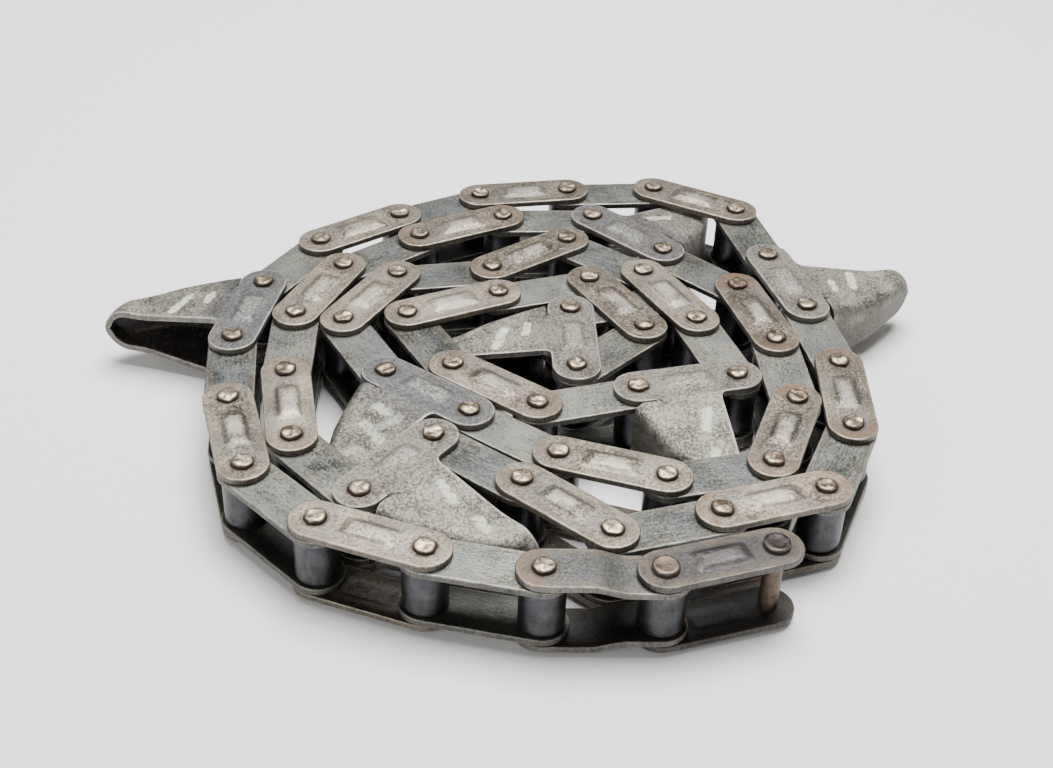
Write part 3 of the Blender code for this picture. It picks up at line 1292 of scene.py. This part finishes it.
@dataclass(frozen=True)
class PaddleShape:
    """The folded sheet beyond the link: two sloping flanges joined by a web."""

    sizes: ChainSizes
    root: float = 11.7
    tongue_stop: float = 37.2
    level_at: float = 44.0
    tip: float = 62.1
    nose: float = 8.6
    bend: float = 5.0
    fillet: float = 3.0
    neck_drop: float = 0.02
    neck: tuple[float, ...] = (8.4, 9.2, 9.8, 10.0, 10.3, 10.7, 11.2, 11.8, 12.4, 13.0)
    body: tuple[float, ...] = (
        11.7, 12.4, 13.5, 16.0, 20.0, 25.0, 30.0, 34.0, 38.0, 42.0, 46.0, 50.0, 53.0,
        55.0, 56.8, 58.2, 59.3, 60.2, 60.9, 61.4, 61.8, 62.1,
    )
    edges: tuple[tuple[float, float, float], ...] = (
        (11.7, 10.7, 46.4), (24.0, 12.0, 42.6), (34.0, 13.1, 39.2), (38.0, 13.5, 37.2),
        (42.0, 13.9, 34.9), (46.0, 14.2, 32.4), (50.0, 14.5, 29.8), (53.0, 14.7, 27.8),
        (56.0, 14.9, 25.8), (58.5, 15.0, 24.0), (60.3, 15.1, 22.3), (61.3, 15.2, 20.9),
        (62.1, 15.2, 19.6),
    )

    def top(self, away: float) -> float:
        """Gives the height of the top flange at this distance from the chain's line.

        Args:
            away: The distance from the chain's line.

        Returns:
            The height above the floor.
        """
        high = self.sizes.face
        inside = self.sizes.inner_high - self.sizes.clearance
        start = self.sizes.end_radius
        share = min(max((away - start) / (self.level_at - start), 0.0), 1.0)
        return high + (inside - high) * share

    def edge(self, away: float, column: int) -> float:
        """Reads the front edge (column 1) or the web's face (column 2) off the table.

        Args:
            away: The distance from the chain's line.
            column: 1 for the front edge, 2 for the web.

        Returns:
            Where it is along the link.
        """
        first = self.edges[0]
        if away <= first[0]:
            return first[column]
        for near, far in zip(self.edges, self.edges[1:]):
            if away <= far[0]:
                share = (away - near[0]) / (far[0] - near[0])
                return near[column] + (far[column] - near[column]) * share
        return self.edges[-1][column]

    def front(self, away: float) -> float:
        """Gives where the front edge is, with its fillet at the plate.

        Args:
            away: The distance from the chain's line.

        Returns:
            Where it is along the link.
        """
        edge = self.edge(away, 1)
        start = self.sizes.end_radius
        if away < start + self.fillet:
            rest = start + self.fillet - max(away, start)
            edge -= self.fillet - math.sqrt(max(0.0, self.fillet**2 - rest**2))
        return edge

    def nose_share(self, share: float) -> float:
        """Gives how high the curled nose still is at this share of its length."""
        t = min(max(share, 0.0), 1.0)
        return 0.8 * math.sqrt(1.0 - t * t) + 0.2 * (1.0 - t)

    def curled(self, height: float, half: float, away: float) -> float:
        """Brings the flanges together at the tip, where they curl in and meet.

        Args:
            height: The height above the middle before curling.
            half: Half of the section's height there.
            away: The distance from the chain's line.

        Returns:
            The height above the middle after curling.
        """
        sheet = self.sizes.plate
        past = away - self.tip + self.nose
        core = half - sheet
        inner = max(0.04, core * self.nose_share(past / (self.nose - sheet)))
        outer = max(inner + 0.4, half * self.nose_share(past / self.nose))
        if height <= core:
            return height * inner / core
        return inner + (height - core) / sheet * (outer - inner)

    def slit(self, x: float, away: float) -> float:
        """Gives how far the flange's root reaches back towards the plate's round end.

        Args:
            x: Where the point is along the link.
            away: Its distance from the chain's line.

        Returns:
            How far it moves back.
        """
        if x < self.tongue_stop + 0.4:
            return 0.0
        past = max(0.0, x - self.sizes.pitch)
        edge = min(self.sizes.end_radius + 0.5 + 0.19 * past, self.root)
        return (self.root - edge) * smooth_step(1.0 - (away - self.root) / 5.0)

    def section(self, away: float, stop: float | None) -> list[tuple[float, float, float]]:
        """Gives the sheet's section as x, z and wear.

        Args:
            away: The distance from the chain's line.
            stop: Where the upper tongue ends, or None for the whole folded section.

        Returns:
            The points in order round the section.
        """
        sheet = self.sizes.plate
        top = self.top(away)
        front = self.front(away)
        lip = [
            (front + 1.3, sheet, -1.0), (front + 0.45, sheet, 0.5),
            (front + 0.12, sheet - 0.12, 0.9), (front, sheet - 0.45, 0.15),
            (front, 0.45, 0.15), (front + 0.12, 0.12, 1.0),
            (front + 0.45, 0.0, 1.0), (front + 1.3, 0.0, 0.0),
        ]
        upper = [(x, top - depth, wear) for x, depth, wear in lip]
        if stop is not None:
            return upper + [(stop, top, 0.0), (stop, top - sheet, -1.0)]
        fold = self.edge(away, 2)
        bend = min(self.bend, max(3.0, (fold - front) * 0.6))
        centre = fold - bend
        outer = []
        inner = []
        for i in range(9):
            angle = math.radians(90.0 - 90.0 * i / 8)
            reach, drop = math.cos(angle), math.sin(angle)
            outer.append((centre + bend * reach, top - self.bend * (1.0 - drop), 0.0))
            thin = self.bend - sheet
            inner.append((centre + (bend - sheet) * reach, top - self.bend + thin * drop, -1.0))
        floor = self.sizes.top
        levels = [floor / 2 + lift for lift in (4.5, 0.0, -4.5)]
        flip = [(x, floor - z, wear) for x, z, wear in reversed(outer)]
        outside = upper[4:] + outer + [(fold, z, 0.0) for z in levels] + flip
        outside += [(x, floor - z, w) for x, z, w in reversed(upper[4:])]
        back = [(x, floor - z, wear) for x, z, wear in inner]
        back += [(fold - sheet, z, -1.0) for z in reversed(levels)]
        inside = [(x, floor - z, w) for x, z, w in reversed(upper[:4])]
        return outside + inside + back + inner[::-1] + upper[:4]

    def loft(
        self, mould: Mould, stations: tuple[float, ...], stop: float | None, drop: float
    ) -> None:
        """Adds a closed run of sections.

        Args:
            mould: The shape it goes into.
            stations: Distances from the chain's line.
            stop: Where the tongue ends, or None for the folded section.
            drop: How far the top lies under the nominal level, to clear what it overlaps.
        """
        middle = self.sizes.top / 2
        rings = []
        for away in stations:
            ring = []
            worn_end = 0.7 if stop is None and away == stations[-1] else -1.0
            half = self.top(away) - middle
            for x, z, wear in self.section(away, stop):
                height = abs(z - middle)
                shift = 0.0
                if stop is None:
                    height = self.curled(height, half, away)
                    shift = self.slit(x, away)
                level = middle + math.copysign(height - drop, z - middle)
                ring.append(mould.vertex(x, away - shift, level, max(wear, worn_end)))
            rings.append(ring)
        mould.skin(rings)
        mould.fill(rings[0])
        mould.fill(rings[-1])

    def add(self, mould: Mould) -> None:
        """Adds the tongues and the folded body.

        Args:
            mould: The shape it goes into.
        """
        self.loft(mould, self.neck, self.tongue_stop, self.neck_drop)
        flipped = Mould()
        self.loft(flipped, self.neck, self.tongue_stop, self.neck_drop)
        for vert in flipped.bm.verts:
            vert.co.z = self.sizes.top - vert.co.z
        spare = bpy.data.meshes.new("tongue")
        flipped.bm.to_mesh(spare)
        flipped.bm.free()
        mould.bm.from_mesh(spare)
        bpy.data.meshes.remove(spare)
        self.loft(mould, self.body, None, 0.0)


@dataclass
class LayTree:
    """Geometry Nodes that lay master shapes on the points of a run of links."""

    name: str
    parts: list[str]
    inputs: dict[str, str] = field(default_factory=dict)
    tree: bpy.types.NodeTree | None = None

    def __post_init__(self) -> None:
        """Builds the tree, with an object and a finish input for each part."""
        self.tree = tree = bpy.data.node_groups.new(self.name, "GeometryNodeTree")
        bench = NodeBench(tree)
        face = tree.interface
        face.new_socket("Geometry", in_out="INPUT", socket_type="NodeSocketGeometry")
        face.new_socket("Geometry", in_out="OUTPUT", socket_type="NodeSocketGeometry")
        sockets = [("Peening", "NodeSocketFloat"), ("Peen size", "NodeSocketFloat")]
        for part in self.parts:
            sockets += [(part, "NodeSocketObject"), (part + " finish", "NodeSocketMaterial")]
        for name, kind in sockets:
            made = face.new_socket(name, in_out="INPUT", socket_type=kind)
            self.inputs[name] = made.identifier
        source = bench.node("NodeGroupInput")
        angles = bench.node("ShaderNodeCombineXYZ", None, {2: self.carried(bench, "heading")})
        turn = bench.node("FunctionNodeEulerToRotation", None, {0: angles.outputs[0]})
        join = bench.node("GeometryNodeJoinGeometry")
        for part in self.parts:
            shape = bench.node("GeometryNodeObjectInfo", None, {"Object": source.outputs[part]})
            laid = bench.node(
                "GeometryNodeInstanceOnPoints",
                None,
                {
                    "Points": source.outputs["Geometry"],
                    "Instance": shape.outputs["Geometry"],
                    "Rotation": turn.outputs[0],
                },
            )
            real = bench.node("GeometryNodeRealizeInstances", None, {0: laid.outputs[0]})
            finish = bench.node(
                "GeometryNodeSetMaterial",
                None,
                {"Geometry": real.outputs[0], "Material": source.outputs[part + " finish"]},
            )
            tree.links.new(finish.outputs[0], join.inputs[0])
        moved = self.hammered(bench, source, join.outputs[0])
        out = bench.node("NodeGroupOutput")
        tree.links.new(moved, out.inputs[0])

    @staticmethod
    def carried(bench: NodeBench, name: str) -> bpy.types.NodeSocket:
        """Reads a number that each point carries."""
        made = bench.node("GeometryNodeInputNamedAttribute", {"data_type": "FLOAT"}, {"Name": name})
        return made.outputs["Attribute"]

    def hammered(
        self, bench: NodeBench, source: bpy.types.Node, geometry: bpy.types.NodeSocket
    ) -> bpy.types.NodeSocket:
        """Moves the hammered points a little, each head in its own way.

        Args:
            bench: The tree's bench.
            source: The tree's input node.
            geometry: What is moved.

        Returns:
            The moved geometry.
        """
        waves = bench.node(
            "ShaderNodeTexNoise",
            {"noise_dimensions": "3D"},
            {"Scale": source.outputs["Peen size"], "Detail": 1.0},
        )
        centred = bench.vector("SUBTRACT", waves.outputs["Color"], NOISE_MEAN)
        depth = Value(bench, source.outputs["Peening"])
        amount = Value(bench, self.carried(bench, "peen")) * depth
        offset = bench.node(
            "ShaderNodeVectorMath", {"operation": "SCALE"}, {0: centred, "Scale": amount}
        )
        moved = bench.node(
            "GeometryNodeSetPosition", None, {"Geometry": geometry, "Offset": offset.outputs[0]}
        )
        return moved.outputs[0]


RUSTY_LINKS = {
    1: 0.6, 7: 0.5, 17: 0.6, 19: 0.8, 20: 0.9, 25: 0.7, 29: 0.5, 31: 0.4, 33: 1.0, 35: 0.9,
    39: 0.6, 40: 0.8, 43: 0.6, 49: 0.5,
}


def tone_of(index: int) -> float:
    """Gives a link its own number from 0 to 1, the same on every run."""
    wave = math.sin(index * 12.9898 + 4.1) * 43758.5453
    return wave - math.floor(wave)


@dataclass
class Recipe:
    """What one kind of link is made of: master shapes with their finishes."""

    slot: str
    parts: dict[str, tuple[bpy.types.Object, bpy.types.Material]]
    tree: LayTree

    @staticmethod
    def points(name: str, places: list[LinkPlace]) -> bpy.types.Mesh:
        """Makes a point for each link, which carries its heading, tone and rust.

        Args:
            name: The new object's name.
            places: Where the links lie.

        Returns:
            The points' mesh.
        """
        mesh = bpy.data.meshes.new(name + "_points")
        mesh.from_pydata([(p.start[0] * MM, p.start[1] * MM, 0.0) for p in places], [], [])
        values = {
            "heading": [p.heading for p in places],
            "tone": [tone_of(p.index) for p in places],
            "rust": [RUSTY_LINKS.get(p.index, 0.0) for p in places],
        }
        for label, numbers in values.items():
            mesh.attributes.new(label, "FLOAT", "POINT").data.foreach_set("value", numbers)
        return mesh

    def lay(self, name: str, places: list[LinkPlace]) -> bpy.types.Object:
        """Lays this kind of link on its places and makes the result a plain mesh.

        Args:
            name: The new object's name.
            places: Where the links lie.

        Returns:
            The finished object, at the origin.
        """
        holder = put(name + "_points", self.points(name, places))
        modifier = holder.modifiers.new("lay", "NODES")
        modifier.node_group = self.tree.tree
        modifier[self.tree.inputs["Peening"]] = PEEN_DEPTH
        modifier[self.tree.inputs["Peen size"]] = PEEN_WAVES
        for part, (shape, finish) in self.parts.items():
            modifier[self.tree.inputs[part]] = shape
            modifier[self.tree.inputs[part + " finish"]] = finish
        graph = bpy.context.evaluated_depsgraph_get()
        graph.update()
        made = bpy.data.meshes.new_from_object(
            holder.evaluated_get(graph), preserve_all_data_layers=True, depsgraph=graph
        )
        made.name = name
        bpy.data.objects.remove(holder, do_unlink=True)
        log.info("%s: %d links, %d faces", name, len(places), len(made.polygons))
        return put(name, made)


class ChainMaker:
    """Builds every link of the coil over its solid in the frame."""

    def __init__(self, sizes: ChainSizes, lay: CoilLay) -> None:
        """Keeps the sizes and the lay, and makes the finishes.

        Args:
            sizes: The chain's sizes.
            lay: How it lies.
        """
        self.sizes = sizes
        self.places = lay.places(sizes.pitch)
        self.round = RoundShapes(sizes)
        self.masters: list[bpy.types.Object] = []
        self.finishes = self.make_finishes()
        self.recipes = self.make_recipes()

    def make_finishes(self) -> dict[str, bpy.types.Material]:
        """Builds the steel finishes once.

        Returns:
            The materials, by a short name for each.
        """
        warm = PlateFinish(
            "outer_plate_steel", (0.455, 0.398, 0.318), (0.060, 0.051, 0.039),
            (0.66, 0.61, 0.53), (0.240, 0.210, 0.175), (0.110, 0.074, 0.046),
            (0.060, 0.050, 0.040), (0.200, 0.190, 0.175),
        )
        cool = PlateFinish(
            "inner_plate_steel", (0.285, 0.284, 0.242), (0.036, 0.039, 0.036),
            (0.52, 0.51, 0.47), (0.190, 0.178, 0.155), (0.120, 0.098, 0.068),
            (0.042, 0.042, 0.037), (0.165, 0.180, 0.188), brushing=1.0, stained=0.42,
            padded=False, speckle=2.7,
        )
        dark = PlateFinish(
            "connecting_link_steel", (0.100, 0.092, 0.089), (0.032, 0.030, 0.029),
            (0.27, 0.255, 0.245), (0.160, 0.145, 0.132), (0.070, 0.055, 0.044),
            (0.032, 0.029, 0.028), (0.080, 0.077, 0.076), rub_and_highlight=0.22,
        )
        cranked = PlateFinish(
            "offset_link_steel", (0.150, 0.147, 0.138), (0.046, 0.045, 0.042),
            (0.44, 0.42, 0.39), (0.240, 0.222, 0.200), (0.090, 0.066, 0.048),
            (0.045, 0.041, 0.037), (0.112, 0.113, 0.110), padded=False,
        )
        return {
            "warm": warm.material(),
            "cool": cool.material(),
            "dark": dark.material(),
            "cranked": cranked.material(),
            "sheet": PaddleFinish().material(),
            "roller": RollerFinish().material(),
            "rivet": RivetFinish("rivet_head_steel").material(),
            "turned": RivetFinish(
                "turned_head_steel", (0.066, 0.057, 0.052), (0.024, 0.020, 0.018), rough=0.32,
                radius=4.9, far_tint=0.7,
            ).material(),
            "pin": RivetFinish(
                "pin_steel", (0.150, 0.118, 0.085), (0.060, 0.042, 0.028), (0.11, 0.08, 0.055)
            ).material(),
        }

    def master(self, name: str, *builders: Builder) -> bpy.types.Object:
        """Runs builders on one mould and keeps the result as a master shape.

        Args:
            name: The shape's name.
            builders: What adds its pieces, in order.

        Returns:
            The master object.
        """
        mould = Mould()
        for builder in builders:
            builder(mould)
        obj = mould.object(name)
        self.masters.append(obj)
        return obj

    def plates(self, inner: bool = False, tongued: bool = False) -> list[Builder]:
        """Gives the builders of a link's two plates: inner ones are bored, others padded.

        Args:
            inner: True for an inner link.
            tongued: True for a paddle link.

        Returns:
            The two builders.
        """
        low, high = self.sizes.outer_low, self.sizes.outer_high
        if inner:
            low, high = self.sizes.inner_low, self.sizes.inner_high
        return [
            PlateShape(self.sizes, level, side, not inner, inner, tongued).add
            for level, side in ((low, Side.LOW), (high, Side.HIGH))
        ]

    def at_pins(
        self, builder: Callable[[Mould, float], None], near: bool = True, far: bool = True
    ) -> list[Builder]:
        """Repeats a turned piece's builder at the link's near pin, its far pin or both.

        Args:
            builder: What adds one piece at a place along the link.
            near: True for one at the near pin.
            far: True for one at the far pin.

        Returns:
            A builder for each pin.
        """
        spots = [0.0] * near + [self.sizes.pitch] * far
        return [lambda mould, x=x: builder(mould, x) for x in spots]

    def make_recipes(self) -> dict[LinkKind, Recipe]:
        """Builds the master shapes and says what each kind of link is made of.

        Returns:
            A recipe for each kind of link.
        """
        steel, parts = self.finishes, self.sizes
        turned = self.round
        rollers = self.master("rollers", *self.at_pins(turned.roller))
        bushes = self.master("bushes", *self.at_pins(turned.bush))
        pins = self.master("pins", *self.at_pins(turned.pin))
        heads = self.master("rivet_heads", *self.at_pins(turned.riveted))
        inner = self.master("inner_plates", *self.plates(inner=True))
        outer = self.master("outer_plates", *self.plates())
        sheet = self.master("paddle_sheet", *self.plates(tongued=True), PaddleShape(parts).add)
        broad = self.master("turned_heads", *self.at_pins(turned.turned))
        cranked = self.master("cranked_plates", *[CrankedPlate(parts, side).add for side in Side])
        first_roller = self.master("offset_roller", *self.at_pins(turned.roller, far=False))
        first_bush = self.master("offset_bush", *self.at_pins(turned.bush, far=False))
        last_pin = self.master("offset_pin", *self.at_pins(turned.pin, near=False))
        last_head = self.master("offset_heads", *self.at_pins(turned.riveted, near=False))
        trees = {
            count: LayTree(f"lay_{count}_parts", [f"Part {i + 1}" for i in range(count)])
            for count in (3, 5)
        }

        def recipe(slot: str, *made: tuple[bpy.types.Object, str]) -> Recipe:
            """Pairs shapes with finishes on a tree of that many parts.

            Args:
                slot: The name of the finish's slot; it is kept on the recipe but not used.
                made: Each shape with its finish's short name.

            Returns:
                The recipe.
            """
            tree = trees[len(made)]
            named = {part: (s, steel[f]) for part, (s, f) in zip(tree.parts, made)}
            return Recipe(slot, named, tree)

        return {
            LinkKind.INNER: recipe(
                "inner_plate_steel", (inner, "cool"), (rollers, "roller"), (bushes, "pin")
            ),
            LinkKind.OUTER: recipe(
                "outer_plate_steel", (outer, "warm"), (pins, "pin"), (heads, "rivet")
            ),
            LinkKind.PADDLE: recipe(
                "paddle_steel", (sheet, "sheet"), (pins, "pin"), (heads, "rivet")
            ),
            LinkKind.CONNECTING: recipe(
                "connecting_link_steel", (outer, "dark"), (pins, "pin"), (broad, "turned")
            ),
            LinkKind.OFFSET: recipe(
                "outer_plate_steel",
                (cranked, "cranked"),
                (first_roller, "roller"),
                (first_bush, "pin"),
                (last_pin, "pin"),
                (last_head, "rivet"),
            ),
        }

    def build(self, bodies: dict[str, list[str]]) -> None:
        """Lays the links of each body and has them stand for its solids.

        Args:
            bodies: The frame's bodies, with the names of their solids.
        """
        by_node = {place.node: place for place in self.places}
        for body, nodes in bodies.items():
            for kind, recipe in self.recipes.items():
                places = [by_node[n] for n in nodes if by_node[n].kind is kind]
                if not places:
                    continue
                name = f"{kind.value}s" if len(places) > 1 else f"{places[0].node}_dressed"
                obj = recipe.lay(name, places)
                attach(obj, body)
                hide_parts(*[place.node for place in places])
        for obj in self.masters:
            bpy.data.objects.remove(obj, do_unlink=True)


@dataclass(frozen=True)
class Studio:
    """The plain floor, the soft lights and the camera."""

    lens: float = 53.810
    spot: Point3 = (-1.710, -525.451, 396.003)
    pan: float = 0.0079
    tilt: float = 0.6307
    roll: float = 0.0384
    floor_size: float = 6.0

    def floor(self) -> None:
        """Adds the pale floor."""
        bm = bmesh.new()
        bmesh.ops.create_grid(bm, x_segments=8, y_segments=8, size=self.floor_size / 2)
        mesh = bpy.data.meshes.new("floor")
        bm.to_mesh(mesh)
        bm.free()
        obj = put("floor", mesh)
        material = bpy.data.materials.new("floor_paper")
        material.use_nodes = True
        shader = material.node_tree.nodes["Principled BSDF"]
        shader.inputs["Base Color"].default_value = (0.90, 0.90, 0.90, 1.0)
        shader.inputs["Roughness"].default_value = 0.9
        mesh.materials.append(material)

    def light(self, name: str, spot: Point3, aim: Point3, size: float, watts: float) -> None:
        """Adds one soft panel.

        Args:
            name: The lamp's name.
            spot: Where it hangs, in metres.
            aim: The point it faces.
            size: Its side, in metres.
            watts: Its power.
        """
        lamp = bpy.data.lights.new(name, "AREA")
        lamp.shape = "SQUARE"
        lamp.size = size
        lamp.energy = watts
        obj = put(name, lamp)
        obj.location = spot
        facing = Vector(aim) - Vector(spot)
        obj.rotation_euler = facing.to_track_quat("-Z", "Y").to_euler()

    def lights(self) -> None:
        """Adds the world's even light and the soft panels."""
        world = bpy.data.worlds.new("studio")
        world.use_nodes = True
        background = world.node_tree.nodes["Background"]
        background.inputs["Color"].default_value = (1.0, 1.0, 1.0, 1.0)
        background.inputs["Strength"].default_value = 0.18
        bpy.context.scene.world = world
        self.light("top", (0.1, 0.30, 1.5), (0.0, 0.0, 0.0), 1.0, 64.0)
        self.light("front", (-0.85, -1.15, 0.70), (0.0, 0.0, 0.0), 0.7, 9.0)

    def camera(self) -> None:
        """Sets the camera where the photograph was taken from."""
        data = bpy.data.cameras.new("camera")
        data.sensor_width = 36.0
        data.lens = self.lens
        data.clip_start = 0.01
        obj = put("camera", data)
        turned = Matrix.Rotation(-self.pan, 4, "Z")
        turned = turned @ Matrix.Rotation(math.pi / 2 - self.tilt, 4, "X")
        turned = turned @ Matrix.Rotation(self.roll, 4, "Z")
        obj.matrix_world = Matrix.Translation(Vector(self.spot) * MM) @ turned
        bpy.context.scene.camera = obj


def main() -> None:
    """Loads the frame, dresses the chain and sets the studio."""
    logging.basicConfig(level=logging.INFO, format="%(name)s: %(message)s")
    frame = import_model()
    bodies: dict[str, list[str]] = frame["record"]["behaviour"]["bodies"]
    ChainMaker(ChainSizes(), CoilLay()).build(bodies)
    studio = Studio()
    studio.floor()
    studio.lights()
    studio.camera()


if __name__ == "__main__":
    main()
